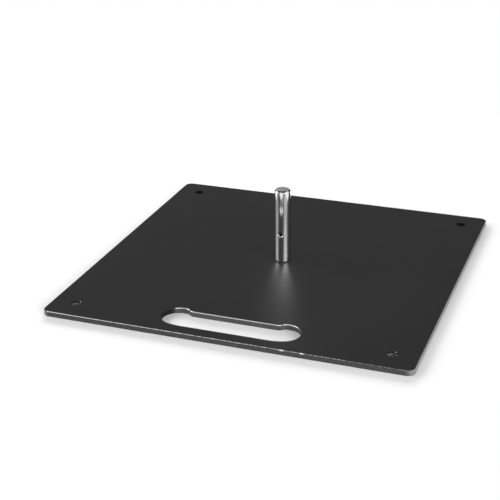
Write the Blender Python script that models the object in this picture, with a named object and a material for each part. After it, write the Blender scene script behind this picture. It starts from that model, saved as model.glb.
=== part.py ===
"""Steel base plate with a carrying slot, four corner holes and an upright pin held by a screw from below.

Metres, +Z up. The origin is the middle of the plate's underside, and the carrying slot is towards -Y.
The pin stands a little behind the middle, which brings it closer to the slotted plate's balance point.
"""

import math

import bmesh
import bpy

# Plate: a square sheet of cut steel, with every edge rounded a little under its coating
PLATE_SIDE = 0.320
PLATE_THICKNESS = 0.005
PLATE_CORNER_RADIUS = 0.0065
EDGE_RADIUS = 0.0005

# Carrying slot: straight in front, drawn in along the back, wider at both round ends
SLOT_LENGTH = 0.121
SLOT_WAIST = 0.0262
SLOT_RAIL = 0.0125
SLOT_BUMP = 0.004
SLOT_FRONT_STEP = 0.0012
SLOT_SHOULDER_RADIUS = 0.007
SLOT_FILLET_RADIUS = 0.005
SLOT_FRONT_BLEND_RADIUS = 0.040

# Corner holes, for bolts or ground spikes
CORNER_HOLE_DIAMETER = 0.0085
CORNER_HOLE_INSET = 0.022

# Pin: a bright round bar that a pole slides over, drilled across for a locking pin
PIN_Y = 0.003
PIN_DIAMETER = 0.0143
PIN_HEIGHT = 0.069
PIN_TOP_CHAMFER = 0.0012
PIN_FOOT_TAPER = 0.0005
PIN_FOOT_TAPER_HEIGHT = 0.0008
CROSS_HOLE_DIAMETER = 0.0042
CROSS_HOLE_HEIGHT = 0.0273
CROSS_HOLE_CHAMFER = 0.0008

# Screw: countersunk, with a hexagon socket, from the underside into the pin
THREAD_DIAMETER = 0.008
THREAD_PITCH = 0.00125
THREAD_DEPTH = 0.00068
SCREW_LENGTH = 0.016
SCREW_HEAD_DIAMETER = 0.0152
SCREW_HEAD_RIM = 0.0003
SCREW_HEAD_RECESS = 0.0004
SCREW_POINT_CHAMFER = 0.0007
SOCKET_ACROSS_FLATS = 0.005
SOCKET_DEPTH = 0.0025
BORE_SPARE_DEPTH = 0.002
DRILL_POINT_ANGLE = math.radians(118)
COUNTERSINK_LAND = 0.0002

# Clearances
SEAT_GAP = 0.0003
THREAD_CLEARANCE = 0.0003
SHANK_CLEARANCE = 0.0005

# Facets
PIN_SEGMENTS = 64
HOLE_SEGMENTS = 32
CORNER_SEGMENTS = 6
ARC_STEP = math.radians(9)
EDGE_STEPS = 3
THREAD_SEGMENTS = 18
THREAD_ROWS_PER_PITCH = 6
CUTTER_OVERSHOOT = 0.002

# Sizes that follow from those above
HALF_SIDE = PLATE_SIDE / 2
SLOT_END_RADIUS = (SLOT_WAIST + SLOT_BUMP - SLOT_FRONT_STEP) / 2
PIN_RADIUS = PIN_DIAMETER / 2
PIN_FOOT_Z = PLATE_THICKNESS + SEAT_GAP
PIN_TOP_Z = PIN_FOOT_Z + PIN_HEIGHT
CROSS_HOLE_RADIUS = CROSS_HOLE_DIAMETER / 2
CROSS_HOLE_Z = PIN_FOOT_Z + CROSS_HOLE_HEIGHT
THREAD_RADIUS = THREAD_DIAMETER / 2
THREAD_ROOT_RADIUS = THREAD_RADIUS - THREAD_DEPTH
SCREW_HEAD_RADIUS = SCREW_HEAD_DIAMETER / 2
HEAD_RIM_Z = SCREW_HEAD_RECESS + SCREW_HEAD_RIM
HEAD_CONE_Z = HEAD_RIM_Z + SCREW_HEAD_RADIUS - THREAD_ROOT_RADIUS
SCREW_TIP_Z = SCREW_HEAD_RECESS + SCREW_LENGTH
COUNTERSINK_RADIUS = SCREW_HEAD_RADIUS + HEAD_RIM_Z + SEAT_GAP * math.sqrt(2)
CONE_TOP_Z = PLATE_THICKNESS - EDGE_RADIUS - COUNTERSINK_LAND
SCREW_HOLE_RADIUS = max(THREAD_RADIUS + SHANK_CLEARANCE, COUNTERSINK_RADIUS - CONE_TOP_Z)
BORE_END_Z = SCREW_TIP_Z + BORE_SPARE_DEPTH


def clear_scene():
    for obj in list(bpy.data.objects):
        bpy.data.objects.remove(obj, do_unlink=True)


def material(name, colour, roughness, metallic):
    made = bpy.data.materials.new(name)
    made.use_nodes = True
    shader = made.node_tree.nodes["Principled BSDF"]
    shader.inputs["Base Color"].default_value = (*colour, 1)
    shader.inputs["Roughness"].default_value = roughness
    shader.inputs["Metallic"].default_value = metallic
    return made


def add_object(name, bm, finish, sharp_angle, y=0):
    """Turns a bmesh into a named object at y, its faces pointing out and its round stretches shaded smooth."""
    bmesh.ops.recalc_face_normals(bm, faces=bm.faces)
    mesh = bpy.data.meshes.new(name)
    bm.to_mesh(mesh)
    bm.free()
    mesh.materials.append(finish)
    mesh.shade_smooth()
    mesh.set_sharp_from_angle(angle=sharp_angle)
    obj = bpy.data.objects.new(name, mesh)
    obj.location.y = y
    bpy.context.scene.collection.objects.link(obj)
    return obj


def cut(target, cutter):
    """Cuts one object from another, and keeps the cutter as a hidden guide."""
    cutter.hide_render = True
    cutter.display_type = "WIRE"
    boolean = target.modifiers.new(cutter.name, "BOOLEAN")
    boolean.operation = "DIFFERENCE"
    boolean.solver = "EXACT"
    boolean.object = cutter


def arc(centre, radius, start, end, inside_out=False):
    """Points of an arc, each as (x, y, nx, ny), with the normal pointing away from the metal.

    The normal of a hole's edge points to the arc's centre, and is turned round with inside_out.
    """
    count = max(1, math.ceil(abs(end - start) / ARC_STEP))
    points = []
    for i in range(count + 1):
        angle = start + (end - start) * i / count
        along = (math.cos(angle), math.sin(angle))
        side = 1 if inside_out else -1
        points.append((centre[0] + radius * along[0], centre[1] + radius * along[1], side * along[0], side * along[1]))
    return points


def plate_contour():
    points = []
    middle = HALF_SIDE - PLATE_CORNER_RADIUS
    for quarter, (sx, sy) in enumerate([(1, 1), (-1, 1), (-1, -1), (1, -1)]):
        for i in range(CORNER_SEGMENTS + 1):
            angle = (quarter + i / CORNER_SEGMENTS) * math.pi / 2
            nx, ny = math.cos(angle), math.sin(angle)
            points.append((sx * middle + PLATE_CORNER_RADIUS * nx, sy * middle + PLATE_CORNER_RADIUS * ny, nx, ny))
    return points


def hole_contour(x, y, radius):
    """The circle round a hole, whose normals point to its centre."""
    points = []
    for i in range(HOLE_SEGMENTS):
        angle = 2 * math.pi * i / HOLE_SEGMENTS
        nx, ny = math.cos(angle), math.sin(angle)
        points.append((x + radius * nx, y + radius * ny, -nx, -ny))
    return points


def slot_contour():
    """The slot's outline: tangent arcs for the right half, mirrored for the left."""
    front_y = -HALF_SIDE + SLOT_RAIL
    back_y = front_y + SLOT_WAIST
    end = (SLOT_LENGTH / 2 - SLOT_END_RADIUS, back_y + SLOT_BUMP - SLOT_END_RADIUS)

    # The long blend is tangent to the front edge and, from outside, to the end's arc
    slack = SLOT_FRONT_BLEND_RADIUS - SLOT_END_RADIUS
    blend_reach = math.sqrt(slack**2 - (slack - SLOT_FRONT_STEP) ** 2)
    blend = (end[0] - blend_reach, front_y + SLOT_FRONT_BLEND_RADIUS)
    blend_angle = math.atan2(end[1] - blend[1], end[0] - blend[0])

    # The shoulder is tangent to the end's arc at its top, and the fillet joins it to the back edge
    shoulder = (end[0], end[1] + SLOT_END_RADIUS - SLOT_SHOULDER_RADIUS)
    rise = back_y + SLOT_FILLET_RADIUS - shoulder[1]
    fillet_reach = math.sqrt((SLOT_SHOULDER_RADIUS + SLOT_FILLET_RADIUS) ** 2 - rise**2)
    fillet = (shoulder[0] - fillet_reach, back_y + SLOT_FILLET_RADIUS)
    shoulder_angle = math.atan2(rise, -fillet_reach)

    right = [
        *arc(blend, SLOT_FRONT_BLEND_RADIUS, -math.pi / 2, blend_angle),
        *arc(end, SLOT_END_RADIUS, blend_angle, math.pi / 2)[1:],
        *arc(shoulder, SLOT_SHOULDER_RADIUS, math.pi / 2, shoulder_angle)[1:],
        *arc(fillet, SLOT_FILLET_RADIUS, shoulder_angle - math.pi, -math.pi / 2, inside_out=True)[1:],
    ]
    left = [(-x, y, -nx, ny) for x, y, nx, ny in reversed(right)]
    return right + left


def rounded_wall():
    """Steps (inset, height) of a wall with both its edges rounded, from the top face to the underside."""
    upper = []
    for i in range(EDGE_STEPS + 1):
        turn = math.pi / 2 * i / EDGE_STEPS
        upper.append((EDGE_RADIUS * (1 - math.sin(turn)), PLATE_THICKNESS - EDGE_RADIUS * (1 - math.cos(turn))))
    return upper + [(inset, PLATE_THICKNESS - height) for inset, height in reversed(upper)]


def countersunk_wall():
    """Steps of the pin screw's hole: a rounded rim above, and the seat of the screw's head below."""
    rim = rounded_wall()[: EDGE_STEPS + 1]
    depth = COUNTERSINK_RADIUS - SCREW_HOLE_RADIUS
    return [*rim, (0, depth), (depth, 0)]


def close_face(bm, rings):
    edges = []
    for ring in rings:
        edges += [bm.edges.get((a, b)) for a, b in zip(ring, ring[1:] + ring[:1])]
    bmesh.ops.triangle_fill(bm, use_beauty=True, use_dissolve=False, edges=edges)


def wall_rings(bm, contour, steps):
    """Adds one closed wall along a contour, and gives its first and last rings of vertices."""
    rings = []
    for inset, height in steps:
        rings.append([bm.verts.new((x - nx * inset, y - ny * inset, height)) for x, y, nx, ny in contour])
    stitch(bm, rings)
    return rings[0], rings[-1]


def stitch(bm, rings):
    for lower, upper in zip(rings, rings[1:]):
        count = len(lower)
        for i in range(count):
            after = (i + 1) % count
            bm.faces.new((lower[i], lower[after], upper[after], upper[i]))


def base_plate(finish):
    bm = bmesh.new()
    walls = [(plate_contour(), rounded_wall()), (slot_contour(), rounded_wall())]
    reach = HALF_SIDE - CORNER_HOLE_INSET
    for x in (-reach, reach):
        for y in (-reach, reach):
            walls.append((hole_contour(x, y, CORNER_HOLE_DIAMETER / 2), rounded_wall()))
    walls.append((hole_contour(0, PIN_Y, SCREW_HOLE_RADIUS), countersunk_wall()))
    ends = [wall_rings(bm, contour, steps) for contour, steps in walls]
    close_face(bm, [top for top, _ in ends])
    close_face(bm, [bottom for _, bottom in ends])
    return add_object("base_plate", bm, finish, math.radians(40))


def ring_at(bm, radius, height, segments):
    ring = []
    for i in range(segments):
        angle = 2 * math.pi * i / segments
        ring.append(bm.verts.new((radius * math.cos(angle), radius * math.sin(angle), height)))
    return ring


def thread_rings(bm, low, high, clearance):
    """Rings of a right-hand thread that fades out at both ends, wider by clearance for the one in a bore."""
    rows = max(2, round((high - low) / THREAD_PITCH * THREAD_ROWS_PER_PITCH))
    rings = []
    for row in range(rows + 1):
        height = low + (high - low) * row / rows
        fade = min(1, row / THREAD_ROWS_PER_PITCH, (rows - row) / THREAD_ROWS_PER_PITCH)
        ring = []
        for i in range(THREAD_SEGMENTS):
            turn = i / THREAD_SEGMENTS
            phase = (height / THREAD_PITCH - turn) % 1
            crest = abs(2 * phase - 1)
            radius = THREAD_ROOT_RADIUS + clearance + THREAD_DEPTH * crest * fade
            angle = 2 * math.pi * turn
            ring.append(bm.verts.new((radius * math.cos(angle), radius * math.sin(angle), height)))
        rings.append(ring)
    return rings


def drill_cone(radius):
    """Depth of the cone that a drill leaves at the end of a hole."""
    return radius / math.tan(DRILL_POINT_ANGLE / 2)


def pin(finish):
    """The bar is turned round, tapped from below and drilled across."""
    bm = bmesh.new()
    rings = [
        ring_at(bm, PIN_RADIUS - PIN_FOOT_TAPER, PIN_FOOT_Z, PIN_SEGMENTS),
        ring_at(bm, PIN_RADIUS, PIN_FOOT_Z + PIN_FOOT_TAPER_HEIGHT, PIN_SEGMENTS),
        ring_at(bm, PIN_RADIUS, PIN_TOP_Z - PIN_TOP_CHAMFER, PIN_SEGMENTS),
        ring_at(bm, PIN_RADIUS - PIN_TOP_CHAMFER, PIN_TOP_Z, PIN_SEGMENTS),
    ]
    stitch(bm, rings)
    bm.faces.new(rings[-1])
    bore = thread_rings(bm, PIN_FOOT_Z, BORE_END_Z, THREAD_CLEARANCE)
    stitch(bm, bore)
    tip = bm.verts.new((0, 0, BORE_END_Z + drill_cone(THREAD_ROOT_RADIUS + THREAD_CLEARANCE)))
    for a, b in zip(bore[-1], bore[-1][1:] + bore[-1][:1]):
        bm.faces.new((a, b, tip))
    close_face(bm, [rings[0], bore[0]])
    bar = add_object("pin", bm, finish, math.radians(30), y=PIN_Y)
    cut(bar, cross_hole_cutter(finish))
    return bar


def cross_hole_cutter(finish):
    """A drill along Y, widened by a cone at each mouth so that the rim is broken all the way round."""
    mouth = CROSS_HOLE_RADIUS + CROSS_HOLE_CHAMFER
    cone_start = math.sqrt(PIN_RADIUS**2 - mouth**2) - CROSS_HOLE_CHAMFER
    reach = PIN_RADIUS + CUTTER_OVERSHOOT
    wide = CROSS_HOLE_RADIUS + reach - cone_start
    bm = bmesh.new()
    rings = [
        ring_at(bm, wide, -reach, HOLE_SEGMENTS),
        ring_at(bm, CROSS_HOLE_RADIUS, -cone_start, HOLE_SEGMENTS),
        ring_at(bm, CROSS_HOLE_RADIUS, cone_start, HOLE_SEGMENTS),
        ring_at(bm, wide, reach, HOLE_SEGMENTS),
    ]
    stitch(bm, rings)
    bm.faces.new(rings[0])
    bm.faces.new(rings[-1])
    cutter = add_object("cross_hole_cutter", bm, finish, math.radians(30))
    cutter.rotation_euler = (math.pi / 2, 0, 0)
    cutter.location = (0, PIN_Y, CROSS_HOLE_Z)
    return cutter


def pin_screw(finish):
    bm = bmesh.new()
    head = [
        ring_at(bm, SCREW_HEAD_RADIUS, SCREW_HEAD_RECESS, THREAD_SEGMENTS * 2),
        ring_at(bm, SCREW_HEAD_RADIUS, HEAD_RIM_Z, THREAD_SEGMENTS * 2),
        ring_at(bm, THREAD_ROOT_RADIUS, HEAD_CONE_Z, THREAD_SEGMENTS * 2),
    ]
    stitch(bm, head)
    bm.faces.new(head[0])
    thread = thread_rings(bm, HEAD_CONE_Z, SCREW_TIP_Z - SCREW_POINT_CHAMFER, 0)
    thread.append(ring_at(bm, THREAD_ROOT_RADIUS - SCREW_POINT_CHAMFER, SCREW_TIP_Z, THREAD_SEGMENTS))
    stitch(bm, thread)
    bm.faces.new(thread[-1])
    # The head's cone has twice the thread's facets, so its last ring is sewn to every other vertex
    for i, vertex in enumerate(thread[0]):
        after = thread[0][(i + 1) % THREAD_SEGMENTS]
        first, middle = head[-1][2 * i], head[-1][2 * i + 1]
        last = head[-1][(2 * i + 2) % (2 * THREAD_SEGMENTS)]
        bm.faces.new((vertex, first, middle))
        bm.faces.new((vertex, middle, after))
        bm.faces.new((after, middle, last))
    screw = add_object("pin_screw", bm, finish, math.radians(30), y=PIN_Y)
    cut(screw, socket_cutter(finish))
    return screw


def socket_cutter(finish):
    """A hexagonal prism with the drill's cone at its end."""
    corner = SOCKET_ACROSS_FLATS / math.sqrt(3)
    floor = SCREW_HEAD_RECESS + SOCKET_DEPTH
    bm = bmesh.new()
    rings = [
        ring_at(bm, corner, SCREW_HEAD_RECESS - CUTTER_OVERSHOOT, 6),
        ring_at(bm, corner, floor, 6),
    ]
    stitch(bm, rings)
    bm.faces.new(rings[0])
    tip = bm.verts.new((0, 0, floor + drill_cone(corner)))
    for a, b in zip(rings[-1], rings[-1][1:] + rings[-1][:1]):
        bm.faces.new((a, b, tip))
    return add_object("socket_cutter", bm, finish, math.radians(30), y=PIN_Y)


def main():
    clear_scene()
    coating = material("black_powder_coat", (0.036, 0.036, 0.037), 0.42, 0.0)
    chrome = material("chrome_plate", (0.62, 0.62, 0.63), 0.08, 1.0)
    zinc = material("bright_zinc", (0.50, 0.51, 0.52), 0.32, 1.0)
    base_plate(coating)
    pin(chrome)
    pin_screw(zinc)


main()
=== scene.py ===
"""Looks of the steel base plate.

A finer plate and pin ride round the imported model, with a floor, soft boxes and a camera.
Metres, +Z up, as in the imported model: the plate's underside is at z = 0 and its slot is towards -Y.
"""

import math

import bmesh
import bpy
from mathutils import Matrix, Vector, noise


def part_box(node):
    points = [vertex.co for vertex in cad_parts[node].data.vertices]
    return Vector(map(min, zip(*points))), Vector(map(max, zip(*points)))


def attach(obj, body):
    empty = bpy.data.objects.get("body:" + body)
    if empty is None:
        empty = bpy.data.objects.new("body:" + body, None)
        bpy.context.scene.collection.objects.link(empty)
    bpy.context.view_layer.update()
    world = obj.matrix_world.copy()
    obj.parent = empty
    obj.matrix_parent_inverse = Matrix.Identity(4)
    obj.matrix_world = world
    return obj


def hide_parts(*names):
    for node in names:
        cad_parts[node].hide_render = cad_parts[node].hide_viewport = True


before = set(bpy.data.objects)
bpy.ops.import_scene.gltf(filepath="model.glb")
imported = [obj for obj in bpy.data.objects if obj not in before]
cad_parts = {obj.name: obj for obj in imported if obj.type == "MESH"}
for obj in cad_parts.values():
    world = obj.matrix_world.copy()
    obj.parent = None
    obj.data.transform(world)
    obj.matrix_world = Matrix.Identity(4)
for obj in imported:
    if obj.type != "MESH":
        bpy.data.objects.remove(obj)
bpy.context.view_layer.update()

# Sizes that the frame gives
PLATE_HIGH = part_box("base_plate")[1]
PIN_LOW, PIN_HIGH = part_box("pin")
HALF_SIDE = PLATE_HIGH.x
THICKNESS = PLATE_HIGH.z
PIN_RADIUS = PIN_HIGH.x
PIN_Y = (PIN_LOW.y + PIN_HIGH.y) / 2
PIN_FOOT_Z = PIN_LOW.z
PIN_TOP_Z = PIN_HIGH.z

# Sizes of the CAD source that a box doesn't give
CORNER_RADIUS = 0.0065
SLOT_LENGTH = 0.121
SLOT_WAIST = 0.0262
SLOT_RAIL = 0.0125
SLOT_BUMP = 0.004
SLOT_FRONT_STEP = 0.0012
SLOT_SHOULDER_RADIUS = 0.007
SLOT_FILLET_RADIUS = 0.005
SLOT_FRONT_BLEND_RADIUS = 0.040
SLOT_END_RADIUS = (SLOT_WAIST + SLOT_BUMP - SLOT_FRONT_STEP) / 2
CORNER_HOLE_RADIUS = 0.00425
CORNER_HOLE_INSET = 0.022
SCREW_HOLE_RADIUS = 0.0045
COUNTERSINK_RADIUS = 0.00872
PIN_TOP_CHAMFER = 0.0012
PIN_FOOT_TAPER = 0.0005
PIN_FOOT_TAPER_HEIGHT = 0.0008
PIN_BORE_RADIUS = 0.0043
PIN_BORE_DEPTH = 0.0131
DRILL_POINT_ANGLE = math.radians(118)
CROSS_HOLE_RADIUS = 0.0021
CROSS_HOLE_HEIGHT = 0.0273
CROSS_HOLE_Z = PIN_FOOT_Z + CROSS_HOLE_HEIGHT

# Roundings: the plate's edges, the cross hole's rim in place of its chamfer, and the pin's corners
EDGE_RADIUS = 0.0008
CROSS_HOLE_RIM = 0.0008
PIN_EASE = 0.0002
PIN_FOOT_EASE = 0.0003

# Cutter's marks in the plate's walls: upright drag lines and a slower wander.
# Each has its features per metre along the wall and up it, and its depth.
CUT_LINES = (900, 160)
CUT_LINE_DEPTH = 0.00003
CUT_WANDER = (140, 90)
CUT_WANDER_SHIFT = 7
CUT_WANDER_DEPTH = 0.00004

# Chips in the upper front edge: place along X and half width, and how deep and bare they are
FRONT_CHIPS = ((0.0536, 0.0022), (0.0704, 0.0018))
CHIP_DEPTH = 0.0004
CHIP_WEAR = 3

# Where a chip is deepest and where an edge wears most, below the flat in edge radii
CHIP_DROP = 0.8
WORN_DROP = 0.4

# How pale the walls are drawn: the outer wall towards Y from scraping, what is added towards X as
# painted reflection of the white floor, and the slot's
OUTSIDE_SCRAPE = 0.18
SIDE_PAINTED_LIGHT = 0.75
SLOT_SCRAPE = 0.26

# Share of the thickness up to which a front corner hole is drawn paler, as painted light low in its wall
HOLE_LIT_HEIGHT = 0.7

# Wear of the outer edge in its middle, and how much more it is at the left end than there
OUTER_WEAR = 0.72
OUTER_WEAR_LEAN = 0.26

# Wear of the slot's edge, how much less it is round the bends, and the least share of it there
SLOT_WEAR = 2.4
SLOT_WEAR_BEND_LOSS = 1.6
SLOT_WEAR_LEAST = 0.2

# Where a front corner hole's rim wears, as the X part of its normal, and how fast that fades
BOLT_WEAR_PLACE = -0.4
BOLT_WEAR_FADE = 3

# Lengths of the slot's left and right ends that are left in painted shade, and how fast a wall's
# paleness takes the painted shade away
SHADED_END_LEFT = 0.004
SHADED_END_RIGHT = 0.0012
SHADE_FADE = 3

# Fineness of the meshes
ARC_STEP = math.radians(4)
WALL_STEP = 0.0009
EDGE_STEPS = 6
WALL_ROWS = 6
FLAT_BORDER = 0.0003
PIN_COLUMNS = 192
PIN_END_RING = 0.001
PATCH_COLUMNS = 44
PATCH_ROWS = 8
PATCH_CROWDING = 1.5
RIM_STEPS = 5
DRILL_STEPS = 4
EASE_STEPS = 4
EASE_BORDER = 0.3
FLOOR_CORNERS = 96

# Margins for telling the pin's end face and the cross hole's wall from the rest
END_FACE_MARGIN = 0.00001
DRILL_MARGIN = 1.01

# Colours of each finish, dark and light
COAT_COLOURS = ((0.0065, 0.0065, 0.0067), (0.0095, 0.0095, 0.0097))
# Cut walls: where they face along X and low in the front corner holes, their paleness is painted light
CUT_COLOURS = ((0.060, 0.060, 0.061), (0.280, 0.278, 0.276))
BARE_STEEL = (0.9, 0.9, 0.9)
CHROME_COLOURS = ((0.84, 0.84, 0.85), (0.90, 0.90, 0.91))
# The cross hole's wall: dull steel made dark as painted shade inside the hole
DRILLED_SHADE_COLOURS = ((0.03, 0.03, 0.03), (0.09, 0.09, 0.09))
ZINC_COLOURS = ((0.44, 0.45, 0.47), (0.60, 0.60, 0.60))

# Roughness of each finish, low and high
COAT_ROUGHNESS = (0.42, 0.48)
CHROME_ROUGHNESS = (0.05, 0.10)
TURNED_END_ROUGHNESS = (0.55, 0.65)
ZINC_ROUGHNESS = (0.24, 0.38)
DRILLED_ROUGHNESS = 0.7

# The coat: how much rougher it is away from the pin, between two distances from the middle,
# and where painted shade is laid, and how much smoother the bare steel is
UNPOLISHED = 0.09
POLISH_REACH = (0.03, 0.12)
SHADE_DULLER = 0.4
BARE_SMOOTHER = 0.12
# The coat's IOR and specular level, and the lower specular level that is painted shade
COAT_IOR = 1.75
COAT_SPECULAR = 0.5
SHADE_SPECULAR = 0.1

# Wear at which the coat is gone, as edge wear and noise together, and how bare the steel then is
WEAR_RANGE = (0.85, 1.15)
BAREST = 0.9

# Roughness of every noise, and depths of the bumps
NOISE_ROUGHNESS = 0.55
PEEL_DEPTH = 0.000012
DRAG_DEPTH = 0.00005
TURNING_DEPTH = 0.0000004
DRILLING_DEPTH = 0.000005
CRYSTAL_DEPTH = 0.000004

# Camera, as worked out from the plate's four corners
CAMERA_LOCATION = (0.3191, -0.9426, 0.4581)
CAMERA_TILT = math.radians(66.055)
CAMERA_HEADING = math.radians(20.363)
CAMERA_ROLL = math.radians(-0.692)
CAMERA_LENS = 85.99
SENSOR_WIDTH = 36.0
CAMERA_REACH = 100

# Soft boxes: heading from -Y towards +X, elevation, distance, width, height, radiance
SOFT_BOXES = {
    "box_right": (60, 15, 2.2, 2.0, 1.1, 8.3),
    "box_left": (-74, 24, 2.2, 1.9, 1.1, 5.2),
    "side_right": (110, 40, 2.2, 1.0, 0.8, 0.9),
    "front_top": (-5, 56, 2.0, 1.4, 0.5, 2.7),
    "backdrop": (-160, 26, 2.4, 2.0, 1.2, 0.17),
    "low_back": (-158, 20, 2.2, 2.2, 0.7, 13.8),
}
UNMIRRORED = ("low_back",)
STUDIO_DIM = 0.05

# Floor: its size, its colour, and the distances from the middle between which it turns plain white
FLOOR_RADIUS = 12.0
FLOOR_COLOUR = 0.93
FLOOR_ROUGHNESS = 0.9
FLOOR_FADE = (0.30, 0.55)


def feed(tree, socket, value):
    """Sets an input to a number or a colour, or links an output to it."""
    if isinstance(value, tuple):
        socket.default_value = (*value, 1)
    elif isinstance(value, (int, float)):
        socket.default_value = value
    else:
        tree.links.new(value, socket)


def sized_node(tree, kind, **inputs):
    """Adds a shader node and sets those of its inputs that are named."""
    made = tree.nodes.new(kind)
    for name, value in inputs.items():
        made.inputs[name].default_value = value
    return made


def blank_material(name):
    made = bpy.data.materials.new(name)
    made.use_nodes = True
    tree = made.node_tree
    return made, tree, tree.nodes["Principled BSDF"]


def vertex_value(tree, name):
    """A number that the mesh's vertices carry."""
    made = tree.nodes.new("ShaderNodeAttribute")
    made.attribute_name = name
    return made.outputs["Fac"]


def stretched_noise(tree, scale, stretch=(1, 1, 1), detail=3.0):
    """Noise in object space, scale in features per metre."""
    place = tree.nodes.new("ShaderNodeTexCoord")
    mapping = sized_node(tree, "ShaderNodeMapping", Scale=stretch)
    pattern = sized_node(tree, "ShaderNodeTexNoise", Scale=scale, Detail=detail)
    pattern.inputs["Roughness"].default_value = NOISE_ROUGHNESS
    tree.links.new(place.outputs["Object"], mapping.inputs["Vector"])
    tree.links.new(mapping.outputs["Vector"], pattern.inputs["Vector"])
    return pattern.outputs["Fac"]


def ranged(tree, value, low, high, source_low=0.3, source_high=0.7):
    """Maps a value's usual range onto low to high."""
    made = tree.nodes.new("ShaderNodeMapRange")
    made.inputs["From Min"].default_value = source_low
    made.inputs["From Max"].default_value = source_high
    made.inputs["To Min"].default_value = low
    made.inputs["To Max"].default_value = high
    tree.links.new(value, made.inputs["Value"])
    return made.outputs["Result"]


def colour_mix(tree, factor, first, second):
    """A colour between two others, each given as numbers or as an output."""
    made = tree.nodes.new("ShaderNodeMix")
    made.data_type = "RGBA"
    feed(tree, made.inputs["A"], first)
    feed(tree, made.inputs["B"], second)
    tree.links.new(factor, made.inputs["Factor"])
    return made.outputs["Result"]


def math_node(tree, operation, first, second):
    made = tree.nodes.new("ShaderNodeMath")
    made.operation = operation
    feed(tree, made.inputs[0], first)
    feed(tree, made.inputs[1], second)
    return made.outputs["Value"]


def distance_from_middle(tree):
    """Distance from the piece's origin, in metres."""
    place = tree.nodes.new("ShaderNodeTexCoord")
    length = tree.nodes.new("ShaderNodeVectorMath")
    length.operation = "LENGTH"
    tree.links.new(place.outputs["Object"], length.inputs[0])
    return length.outputs["Value"]


def add_bump(tree, shader, height, distance, under=None):
    """Bump of a real depth in metres, on top of another bump if one is given."""
    made = sized_node(tree, "ShaderNodeBump", Distance=distance)
    tree.links.new(height, made.inputs["Height"])
    if under is not None:
        tree.links.new(under, made.inputs["Normal"])
    tree.links.new(made.outputs["Normal"], shader.inputs["Normal"])
    return made.outputs["Normal"]


def powder_coat():
    """Satin black coat: orange peel, fine specks, paler cut walls, bare steel where it is worn off.

    It is glossier round the pin, where poles are set down and turned. The walls that face along X and
    the front corner holes low down are paler, which is painted light, and the unscraped walls are duller
    and less glossy, which is painted shade.
    """
    made, tree, shader = blank_material("plate_powder_coat")
    pale_and_lit_wall = vertex_value(tree, "pale_wall_and_painted_light")
    wall_shade = vertex_value(tree, "painted_wall_shade")
    specks = stretched_noise(tree, 2600, detail=2)
    clouds = stretched_noise(tree, 14, detail=4)
    peel = stretched_noise(tree, 850, detail=1.5)
    drag = stretched_noise(tree, 900, stretch=(1, 1, 0.35), detail=4)
    chips = stretched_noise(tree, 700, detail=3)

    tone = math_node(tree, "ADD", ranged(tree, specks, 0, 0.5), ranged(tree, clouds, 0, 0.5))
    flat_colour = colour_mix(tree, tone, *COAT_COLOURS)
    wall_colour = colour_mix(tree, ranged(tree, drag, 0, 1), *CUT_COLOURS)
    coat_colour = colour_mix(tree, pale_and_lit_wall, flat_colour, wall_colour)
    wear = math_node(tree, "ADD", vertex_value(tree, "edge_wear"), chips)
    bare = ranged(tree, wear, 0, BAREST, *WEAR_RANGE)
    tree.links.new(colour_mix(tree, bare, coat_colour, BARE_STEEL), shader.inputs["Base Color"])
    tree.links.new(bare, shader.inputs["Metallic"])

    unpolished = ranged(tree, distance_from_middle(tree), 0, UNPOLISHED, *POLISH_REACH)
    skin = math_node(tree, "ADD", ranged(tree, clouds, *COAT_ROUGHNESS), unpolished)
    duller = math_node(tree, "MULTIPLY", wall_shade, SHADE_DULLER)
    smoother = math_node(tree, "MULTIPLY", bare, BARE_SMOOTHER)
    coat_roughness = math_node(tree, "ADD", skin, duller)
    tree.links.new(math_node(tree, "SUBTRACT", coat_roughness, smoother), shader.inputs["Roughness"])
    specular = ranged(tree, wall_shade, COAT_SPECULAR, SHADE_SPECULAR, 0, 1)
    tree.links.new(specular, shader.inputs["Specular IOR Level"])
    shader.inputs["IOR"].default_value = COAT_IOR

    orange_peel = add_bump(tree, shader, peel, PEEL_DEPTH)
    rough_walls = math_node(tree, "MULTIPLY", drag, pale_and_lit_wall)
    add_bump(tree, shader, rough_walls, DRAG_DEPTH, under=orange_peel)
    return made


def chrome(name, roughness):
    """Bright chrome over a turned bar: faint rings round it and a few duller smears."""
    made, tree, shader = blank_material(name)
    shader.inputs["Metallic"].default_value = 1.0
    rings = stretched_noise(tree, 3200, stretch=(0.02, 0.02, 1), detail=2)
    smears = stretched_noise(tree, 180, stretch=(1, 1, 0.5), detail=4)
    colour = colour_mix(tree, ranged(tree, smears, 0, 1), *CHROME_COLOURS)
    tree.links.new(colour, shader.inputs["Base Color"])
    tree.links.new(ranged(tree, smears, *roughness), shader.inputs["Roughness"])
    add_bump(tree, shader, rings, TURNING_DEPTH)
    return made


def drilled_steel_in_shade():
    """The cross hole's wall: dull drilled steel, which the chrome doesn't reach, drawn dark as painted
    shade inside the hole.
    """
    made, tree, shader = blank_material("pin_drilled_wall_shade")
    rings = stretched_noise(tree, 2400, stretch=(1, 0.2, 1), detail=3)
    colour = colour_mix(tree, ranged(tree, rings, 0, 1), *DRILLED_SHADE_COLOURS)
    tree.links.new(colour, shader.inputs["Base Color"])
    shader.inputs["Roughness"].default_value = DRILLED_ROUGHNESS
    add_bump(tree, shader, rings, DRILLING_DEPTH)
    return made


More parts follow.
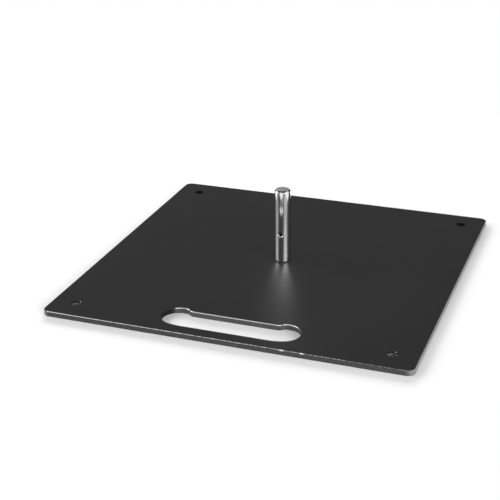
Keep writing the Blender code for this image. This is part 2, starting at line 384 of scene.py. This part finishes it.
def bright_zinc():
    """Zinc plate: small crystals of unlike grey."""
    made, tree, shader = blank_material("screw_bright_zinc")
    shader.inputs["Metallic"].default_value = 1.0
    crystals = stretched_noise(tree, 1400, detail=3)
    colour = colour_mix(tree, ranged(tree, crystals, 0, 1), *ZINC_COLOURS)
    tree.links.new(colour, shader.inputs["Base Color"])
    tree.links.new(ranged(tree, crystals, *ZINC_ROUGHNESS), shader.inputs["Roughness"])
    add_bump(tree, shader, crystals, CRYSTAL_DEPTH)
    return made


def arc(centre, radius, start, end, inside_out=False):
    """Points of an arc as (x, y, nx, ny).

    The normal (nx, ny) points away from the metal: to the centre, unless inside out.
    """
    count = max(1, math.ceil(abs(end - start) / ARC_STEP))
    side = 1 if inside_out else -1
    points = []
    for i in range(count + 1):
        angle = start + (end - start) * i / count
        nx = math.cos(angle)
        ny = math.sin(angle)
        points.append((centre[0] + radius * nx, centre[1] + radius * ny, side * nx, side * ny))
    return points


def spaced(contour):
    """The same closed contour with its long straight runs cut into short steps."""
    points = []
    for here, after in zip(contour, contour[1:] + contour[:1]):
        count = max(1, round(math.hypot(after[0] - here[0], after[1] - here[1]) / WALL_STEP))
        for i in range(count):
            share = i / count
            points.append(tuple(a + (b - a) * share for a, b in zip(here, after)))
    return points


def plate_contour():
    points = []
    middle = HALF_SIDE - CORNER_RADIUS
    for quarter, (sx, sy) in enumerate([(1, 1), (-1, 1), (-1, -1), (1, -1)]):
        start = quarter * math.pi / 2
        end = start + math.pi / 2
        points += arc((sx * middle, sy * middle), CORNER_RADIUS, start, end, inside_out=True)
    return spaced(points)


def hole_contour(x, y, radius):
    return arc((x, y), radius, 0, 2 * math.pi)[:-1]


def slot_contour():
    """The slot's outline: tangent arcs for the right half, mirrored for the left."""
    front_y = -HALF_SIDE + SLOT_RAIL
    back_y = front_y + SLOT_WAIST
    end = (SLOT_LENGTH / 2 - SLOT_END_RADIUS, back_y + SLOT_BUMP - SLOT_END_RADIUS)

    # The long blend is tangent to the front edge and, from outside, to the end's arc
    slack = SLOT_FRONT_BLEND_RADIUS - SLOT_END_RADIUS
    blend_reach = math.sqrt(slack**2 - (slack - SLOT_FRONT_STEP) ** 2)
    blend = (end[0] - blend_reach, front_y + SLOT_FRONT_BLEND_RADIUS)
    blend_angle = math.atan2(end[1] - blend[1], end[0] - blend[0])

    # The shoulder is tangent to the end's arc at its top, and the fillet joins it to the back edge
    shoulder = (end[0], end[1] + SLOT_END_RADIUS - SLOT_SHOULDER_RADIUS)
    rise = back_y + SLOT_FILLET_RADIUS - shoulder[1]
    fillet_reach = math.sqrt((SLOT_SHOULDER_RADIUS + SLOT_FILLET_RADIUS) ** 2 - rise**2)
    fillet = (shoulder[0] - fillet_reach, back_y + SLOT_FILLET_RADIUS)
    shoulder_angle = math.atan2(rise, -fillet_reach)
    fillet_start = shoulder_angle - math.pi

    right = [
        *arc(blend, SLOT_FRONT_BLEND_RADIUS, -math.pi / 2, blend_angle),
        *arc(end, SLOT_END_RADIUS, blend_angle, math.pi / 2)[1:],
        *arc(shoulder, SLOT_SHOULDER_RADIUS, math.pi / 2, shoulder_angle)[1:],
        *arc(fillet, SLOT_FILLET_RADIUS, fillet_start, -math.pi / 2, inside_out=True)[1:],
    ]
    left = [(-x, y, -nx, ny) for x, y, nx, ny in reversed(right)]
    return spaced(right + left)


def rounded_edge():
    """Steps (inset, height) from the flat top over its rounded edge to the wall."""
    steps = [(EDGE_RADIUS + FLAT_BORDER, THICKNESS)]
    for i in range(EDGE_STEPS + 1):
        turn = math.pi / 2 * i / EDGE_STEPS
        inset = EDGE_RADIUS * (1 - math.sin(turn))
        steps.append((inset, THICKNESS - EDGE_RADIUS * (1 - math.cos(turn))))
    return steps


def rounded_wall():
    """Steps of a wall with both its edges rounded."""
    upper = rounded_edge()
    tall = THICKNESS - 2 * EDGE_RADIUS
    middle = [(0, EDGE_RADIUS + tall * (WALL_ROWS - row) / WALL_ROWS) for row in range(1, WALL_ROWS)]
    return upper + middle + [(inset, THICKNESS - height) for inset, height in reversed(upper)]


def countersunk_wall():
    """Steps of the pin screw's hole: a rounded rim above and the seat of the screw's head below."""
    depth = COUNTERSINK_RADIUS - SCREW_HOLE_RADIUS
    return [*rounded_edge(), (0, depth), (depth, 0)]


def cut_bite(x, y, z):
    """How far the cutter's marks reach into a wall, in metres."""
    along, up = CUT_LINES
    lines = noise.noise(Vector((x * along, y * along, z * up)))
    along, up = CUT_WANDER
    wander = noise.noise(Vector((x * along + CUT_WANDER_SHIFT, y * along, z * up)))
    return CUT_LINE_DEPTH * (1 + lines) + CUT_WANDER_DEPTH * (1 + wander)


def edge_chip(x, y):
    """1 in the middle of a chip in the front edge, 0 away from it."""
    if y > EDGE_RADIUS - HALF_SIDE:
        return 0.0
    return max(max(0.0, 1 - abs(x - place) / half) for place, half in FRONT_CHIPS)


def away_from_slot_ends(x):
    """1 along the slot's length, falling to 0 in its ends, sooner on the left; the ends are left in
    painted shade.
    """
    from_left = (SLOT_LENGTH / 2 + x - SHADED_END_LEFT) / SHADED_END_LEFT
    from_right = (SLOT_LENGTH / 2 - x - SHADED_END_RIGHT) / SHADED_END_RIGHT
    return min(1.0, max(0.0, from_left), max(0.0, from_right))


def scraped_and_side_lit_outside(x, nx, height):
    """The outer wall: scraped all along, and paler still on the sides that face along X, which is
    painted reflection of the white floor.
    """
    return OUTSIDE_SCRAPE + SIDE_PAINTED_LIGHT * abs(nx)


def scraped_slot(x, nx, height):
    """The slot's wall: scraped along its length, and left black in its ends as painted shade."""
    return SLOT_SCRAPE * away_from_slot_ends(x)


def painted_light_below(x, nx, height):
    """A front corner hole: paler below, which is painted light on the lower wall."""
    return 1.0 if height < HOLE_LIT_HEIGHT * THICKNESS else 0.0


# A coated wall: no paleness, so it gets the full painted shade
def coated(x, nx, height):
    return 0.0


def outer_rub(x, nx):
    """Wear of the outer edge: most at the left, where it is dragged, and none round the corners."""
    on_corner = 4 * nx * nx * (1 - nx * nx)
    return (OUTER_WEAR - OUTER_WEAR_LEAN * x / HALF_SIDE) * max(0.0, 1 - 2 * on_corner)


def hand_rub(x, nx):
    """Wear of the slot's edge along its length, where the plate is held: less round its bends, and none
    in its ends, which are left in painted shade.
    """
    return SLOT_WEAR * away_from_slot_ends(x) * max(SLOT_WEAR_LEAST, 1 - SLOT_WEAR_BEND_LOSS * nx * nx)


def bolt_rub(x, nx):
    """Wear of the rim of a front corner hole: two short stretches on its right side."""
    return max(0.0, 1 - BOLT_WEAR_FADE * abs(nx - BOLT_WEAR_PLACE))


def unworn(x, nx):
    return 0.0


def wall(bm, contour, steps, marks, worn, bare):
    """Adds one closed wall along a contour, and gives its first and last rings of vertices.

    marks is 1 for a wall with the cutter's marks and 0 for a smooth one. worn tells how far its
    edges have lost their coat, and bare how pale the wall between them is: lost coat, and painted
    light on some walls. Where a wall is not pale, painted shade makes its coat duller and less glossy.
    """
    pale_wall_and_painted_light = bm.verts.layers.float["pale_wall_and_painted_light"]
    edge_wear = bm.verts.layers.float["edge_wear"]
    painted_wall_shade = bm.verts.layers.float["painted_wall_shade"]
    rings = []
    for inset, height in steps:
        upright = max(0.0, 1 - inset / EDGE_RADIUS)
        drop = (THICKNESS - height) / EDGE_RADIUS
        on_edge = max(0.0, 1 - 2 * abs(drop - WORN_DROP)) if inset < EDGE_RADIUS else 0.0
        ring = []
        for x, y, nx, ny in contour:
            chip = max(0.0, 1 - abs(drop - CHIP_DROP) / CHIP_DROP) * edge_chip(x, y)
            reach = inset + marks * upright * cut_bite(x, y, height) + CHIP_DEPTH * chip
            vertex = bm.verts.new((x - nx * reach, y - ny * reach, height))
            # Pale wall: scraped cut steel, and painted light on the walls that face along X and low in
            # the front corner holes
            vertex[pale_wall_and_painted_light] = upright**2 * bare(x, nx, height)
            vertex[edge_wear] = on_edge * worn(x, nx) + CHIP_WEAR * chip
            # Where a wall is not pale, painted shade makes its coat duller and less glossy
            vertex[painted_wall_shade] = upright * max(0.0, 1 - SHADE_FADE * bare(x, nx, height))
            ring.append(vertex)
        rings.append(ring)
    stitch(bm, rings)
    return rings[0], rings[-1]


def stitch(bm, rings):
    for lower, upper in zip(rings, rings[1:]):
        for i in range(len(lower)):
            after = (i + 1) % len(lower)
            bm.faces.new((lower[i], lower[after], upper[after], upper[i]))


def close_face(bm, rings):
    edges = []
    for ring in rings:
        edges += [bm.edges.get((a, b)) for a, b in zip(ring, ring[1:] + ring[:1])]
    bmesh.ops.triangle_fill(bm, use_beauty=True, use_dissolve=False, edges=edges)


def mesh_object(name, bm, finishes):
    """Turns a bmesh into an object of the scene."""
    mesh = bpy.data.meshes.new(name)
    bm.to_mesh(mesh)
    bm.free()
    for finish in finishes:
        mesh.materials.append(finish)
    made = bpy.data.objects.new(name, mesh)
    bpy.context.scene.collection.objects.link(made)
    return made


def finish_piece(name, bm, finishes, node):
    """Turns a bmesh into a smooth shaded piece that rides with the part in place of its CAD node."""
    bmesh.ops.recalc_face_normals(bm, faces=bm.faces)
    piece = mesh_object(name, bm, finishes)
    piece.data.shade_smooth()
    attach(piece, "root")
    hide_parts(node)


def coated_plate():
    """The plate: its outer wall, the slot's and the holes' walls, and the flat faces between them."""
    bm = bmesh.new()
    bm.verts.layers.float.new("pale_wall_and_painted_light")
    bm.verts.layers.float.new("edge_wear")
    bm.verts.layers.float.new("painted_wall_shade")
    both_edges = rounded_wall()
    screw_hole = hole_contour(0, PIN_Y, SCREW_HOLE_RADIUS)
    ends = [
        wall(bm, plate_contour(), both_edges, 1, outer_rub, scraped_and_side_lit_outside),
        wall(bm, slot_contour(), both_edges, 1, hand_rub, scraped_slot),
        wall(bm, screw_hole, countersunk_wall(), 0, unworn, coated),
    ]
    reach = HALF_SIDE - CORNER_HOLE_INSET
    for x in (-reach, reach):
        # Front corner holes get painted light low in their walls and worn rims; back ones get painted
        # shade
        for y, worn, bare in ((-reach, bolt_rub, painted_light_below), (reach, unworn, coated)):
            ends.append(wall(bm, hole_contour(x, y, CORNER_HOLE_RADIUS), both_edges, 0, worn, bare))
    close_face(bm, [top for top, _ in ends])
    close_face(bm, [bottom for _, bottom in ends])
    finish_piece("coated_plate", bm, [powder_coat()], "base_plate")


def eased(profile):
    """A lathe profile with each corner turned into a small arc.

    The corners are (radius, height, ease), and an arc is ease long on each side of its corner.
    """
    points = []
    for i, (r, z, ease) in enumerate(profile):
        if ease == 0:
            points.append((r, z))
            continue
        here = Vector((r, z))
        back = (Vector(profile[i - 1][:2]) - here).normalized()
        onward = (Vector(profile[i + 1][:2]) - here).normalized()
        start = here + back * ease
        end = here + onward * ease
        flat = EASE_BORDER * ease
        points.append(tuple(start + back * flat))
        for step in range(EASE_STEPS + 1):
            t = step / EASE_STEPS
            points.append(tuple(start * (1 - t) ** 2 + here * 2 * t * (1 - t) + end * t**2))
        points.append(tuple(end + onward * flat))
    return points


def round_ring(bm, radius, height):
    ring = []
    for i in range(PIN_COLUMNS):
        angle = 2 * math.pi * i / PIN_COLUMNS
        ring.append(bm.verts.new((radius * math.sin(angle), -radius * math.cos(angle), height)))
    return ring


def cap(bm, ring, height):
    """Closes a ring with a fan to a point on the axis."""
    tip = bm.verts.new((0, 0, height))
    for i in range(len(ring)):
        bm.faces.new((ring[i], ring[(i + 1) % len(ring)], tip))


def on_circle(radius, way):
    """A point (u, v) of the bar's unrolled side that is seen on a circle round the cross hole's axis."""
    return PIN_RADIUS * math.asin(radius * math.cos(way) / PIN_RADIUS), radius * math.sin(way)


def hole_mouth(bm, rows, first, facing):
    """The drilled mouth in the bar's side: from a square of the bar's own grid to the hole's wall.

    rows are the grid's rings over the patch, first the column that it starts at, and facing 1 for
    the -Y side.
    """
    wide = PATCH_COLUMNS
    columns = [(first + i) % PIN_COLUMNS for i in range(wide + 1)]
    top = len(rows) - 1
    border = [rows[0][columns[i]] for i in range(wide)]
    border += [rows[j][columns[wide]] for j in range(top)]
    border += [rows[top][columns[wide - i]] for i in range(wide)]
    border += [rows[top - j][columns[0]] for j in range(top)]
    spots = []
    for vertex in border:
        across = PIN_RADIUS * math.atan2(facing * vertex.co.x, -facing * vertex.co.y)
        spots.append((across, vertex.co.z - CROSS_HOLE_Z))

    def on_bar(u, v, depth):
        """A point of the bar's unrolled side, sunk by depth."""
        x = PIN_RADIUS * math.sin(u / PIN_RADIUS)
        y = PIN_RADIUS * math.cos(u / PIN_RADIUS) - depth
        return bm.verts.new((facing * x, -facing * y, CROSS_HOLE_Z + v))

    rings = [border]
    ways = [math.atan2(v, u) for u, v in spots]
    lips = [on_circle(CROSS_HOLE_RADIUS + CROSS_HOLE_RIM, way) for way in ways]
    for row in range(1, PATCH_ROWS + 1):
        share = 1 - (1 - row / PATCH_ROWS) ** PATCH_CROWDING
        ring = []
        for (u, v), lip in zip(spots, lips):
            ring.append(on_bar(u + (lip[0] - u) * share, v + (lip[1] - v) * share, 0))
        rings.append(ring)
    for step in range(1, RIM_STEPS + 1):
        turn = math.pi / 2 * step / RIM_STEPS
        radius = CROSS_HOLE_RADIUS + CROSS_HOLE_RIM * (1 - math.sin(turn))
        depth = CROSS_HOLE_RIM * (1 - math.cos(turn))
        rings.append([on_bar(*on_circle(radius, way), depth) for way in ways])
    stitch(bm, rings)
    return rings[-1]


def drill_wall(bm, front, back):
    """Joins the two mouths of the cross hole through the bar."""

    def way(vertex):
        return math.atan2(vertex.co.z - PIN_FOOT_Z - CROSS_HOLE_HEIGHT, vertex.co.x)

    near = sorted(front, key=way)
    far = sorted(back, key=way)
    rings = [near]
    for step in range(1, DRILL_STEPS):
        share = step / DRILL_STEPS
        rings.append([bm.verts.new(a.co.lerp(b.co, share)) for a, b in zip(near, far)])
    rings.append(far)
    stitch(bm, rings)


def chrome_pin():
    """The bar: turned, with a bore for the screw in its foot, and drilled across below its middle."""
    bm = bmesh.new()
    patch_half = PATCH_COLUMNS / 2 * 2 * math.pi / PIN_COLUMNS * PIN_RADIUS
    bore_top = PIN_FOOT_Z + PIN_BORE_DEPTH
    lower = eased([
        (PIN_BORE_RADIUS, bore_top, 0),
        (PIN_BORE_RADIUS, PIN_FOOT_Z, PIN_EASE),
        (PIN_RADIUS - PIN_FOOT_TAPER, PIN_FOOT_Z, PIN_FOOT_EASE),
        (PIN_RADIUS, PIN_FOOT_Z + PIN_FOOT_TAPER_HEIGHT, PIN_FOOT_EASE),
        (PIN_RADIUS, CROSS_HOLE_Z - patch_half, 0),
    ])
    upper = eased([
        (PIN_RADIUS, CROSS_HOLE_Z + patch_half, 0),
        (PIN_RADIUS, PIN_TOP_Z - PIN_TOP_CHAMFER, PIN_EASE),
        (PIN_RADIUS - PIN_TOP_CHAMFER, PIN_TOP_Z, PIN_EASE),
        (PIN_END_RING, PIN_TOP_Z, 0),
    ])
    bore = round_ring(bm, *lower[0])
    cap(bm, bore, bore_top + PIN_BORE_RADIUS / math.tan(DRILL_POINT_ANGLE / 2))
    below = [bore] + [round_ring(bm, r, z) for r, z in lower[1:]]
    above = [round_ring(bm, r, z) for r, z in upper]
    stitch(bm, below)
    stitch(bm, above)
    cap(bm, above[-1], PIN_TOP_Z)

    # The rows beside the cross hole, left open at its two mouths
    rows = [below[-1]]
    for j in range(1, PATCH_COLUMNS):
        height = CROSS_HOLE_Z + patch_half * (2 * j / PATCH_COLUMNS - 1)
        rows.append(round_ring(bm, PIN_RADIUS, height))
    rows.append(above[0])
    starts = {1: -PATCH_COLUMNS // 2, -1: PIN_COLUMNS // 2 - PATCH_COLUMNS // 2}
    drilled = {(s + i) % PIN_COLUMNS for s in starts.values() for i in range(PATCH_COLUMNS)}
    for low, high in zip(rows, rows[1:]):
        for i in range(PIN_COLUMNS):
            after = (i + 1) % PIN_COLUMNS
            if i not in drilled:
                bm.faces.new((low[i], low[after], high[after], high[i]))
    mouths = [hole_mouth(bm, rows, start, facing) for facing, start in starts.items()]
    drill_wall(bm, *mouths)
    loose = [v for v in bm.verts if not v.link_faces]
    bmesh.ops.delete(bm, geom=loose, context="VERTS")
    bmesh.ops.translate(bm, verts=bm.verts, vec=(0, PIN_Y, 0))

    chromed, turned_end, drilled_wall = range(3)
    for face in bm.faces:
        centre = face.calc_center_median()
        from_drill = math.hypot(centre.x, centre.z - CROSS_HOLE_Z)
        in_drill = from_drill < CROSS_HOLE_RADIUS * DRILL_MARGIN
        behind_rim = abs(centre.y - PIN_Y) < PIN_RADIUS - CROSS_HOLE_RIM
        if centre.z > PIN_TOP_Z - END_FACE_MARGIN:
            face.material_index = turned_end
        elif in_drill and behind_rim:
            face.material_index = drilled_wall
        else:
            face.material_index = chromed
    finishes = [
        chrome("pin_bright_chrome", CHROME_ROUGHNESS),
        chrome("pin_turned_end", TURNED_END_ROUGHNESS),
        drilled_steel_in_shade(),
    ]
    finish_piece("chrome_pin", bm, finishes, "pin")


def zinc_screw():
    """The screw keeps its CAD node, with a zinc material."""
    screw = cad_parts["pin_screw"]
    screw.material_slots[0].material = bright_zinc()


def seen_ray(tree):
    """1 for a ray from the camera, from a gloss or through glass."""
    path = tree.nodes.new("ShaderNodeLightPath")
    glossy = path.outputs["Is Glossy Ray"]
    through = path.outputs["Is Transmission Ray"]
    indirect = math_node(tree, "MAXIMUM", glossy, through)
    return math_node(tree, "MAXIMUM", path.outputs["Is Camera Ray"], indirect)


def floor_material():
    """White floor: lit and shadowed near the part, plain white beyond for what sees or mirrors it."""
    made, tree, shader = blank_material("studio_floor")
    shader.inputs["Base Color"].default_value = (FLOOR_COLOUR, FLOOR_COLOUR, FLOOR_COLOUR, 1)
    shader.inputs["Roughness"].default_value = FLOOR_ROUGHNESS
    shader.inputs["Specular IOR Level"].default_value = 0.0
    far = ranged(tree, distance_from_middle(tree), 0, 1, *FLOOR_FADE)
    glow = sized_node(tree, "ShaderNodeEmission", Strength=1.0)
    mix = tree.nodes.new("ShaderNodeMixShader")
    tree.links.new(math_node(tree, "MULTIPLY", far, seen_ray(tree)), mix.inputs["Fac"])
    tree.links.new(shader.outputs["BSDF"], mix.inputs[1])
    tree.links.new(glow.outputs["Emission"], mix.inputs[2])
    tree.links.new(mix.outputs["Shader"], tree.nodes["Material Output"].inputs["Surface"])
    return made


def studio_floor():
    bm = bmesh.new()
    bmesh.ops.create_circle(bm, cap_ends=True, segments=FLOOR_CORNERS, radius=FLOOR_RADIUS)
    mesh_object("studio_floor", bm, [floor_material()])


def soft_box(name, heading, elevation, distance, wide, tall, radiance):
    """A rectangular lamp that faces the part; its power follows from its radiance."""
    lamp = bpy.data.lights.new(name, "AREA")
    lamp.shape = "RECTANGLE"
    lamp.size = wide
    lamp.size_y = tall
    lamp.energy = radiance * math.pi * wide * tall
    out = Vector((
        math.sin(heading) * math.cos(elevation),
        -math.cos(heading) * math.cos(elevation),
        math.sin(elevation),
    ))
    holder = bpy.data.objects.new(name, lamp)
    holder.location = out * distance
    holder.rotation_euler = out.to_track_quat("Z", "Y").to_euler()
    holder.visible_camera = False
    holder.visible_glossy = name not in UNMIRRORED
    bpy.context.scene.collection.objects.link(holder)


def soft_boxes():
    for name, (heading, elevation, *rest) in SOFT_BOXES.items():
        soft_box(name, math.radians(heading), math.radians(elevation), *rest)


def dim_room():
    world = bpy.data.worlds.new("dim_studio")
    bpy.context.scene.world = world
    world.use_nodes = True
    background = world.node_tree.nodes["Background"]
    background.inputs["Color"].default_value = (1, 1, 1, 1)
    background.inputs["Strength"].default_value = STUDIO_DIM


def camera():
    data = bpy.data.cameras.new("camera")
    data.lens = CAMERA_LENS
    data.sensor_width = SENSOR_WIDTH
    data.clip_end = CAMERA_REACH
    holder = bpy.data.objects.new("camera", data)
    turn = Matrix.Rotation(CAMERA_HEADING, 4, "Z")
    tilt = Matrix.Rotation(CAMERA_TILT, 4, "X")
    roll = Matrix.Rotation(CAMERA_ROLL, 4, "Z")
    holder.matrix_world = Matrix.Translation(CAMERA_LOCATION) @ turn @ tilt @ roll
    bpy.context.scene.collection.objects.link(holder)
    bpy.context.scene.camera = holder


coated_plate()
chrome_pin()
zinc_screw()
studio_floor()
soft_boxes()
dim_room()
camera()
bpy.context.scene.view_settings.view_transform = "Standard"
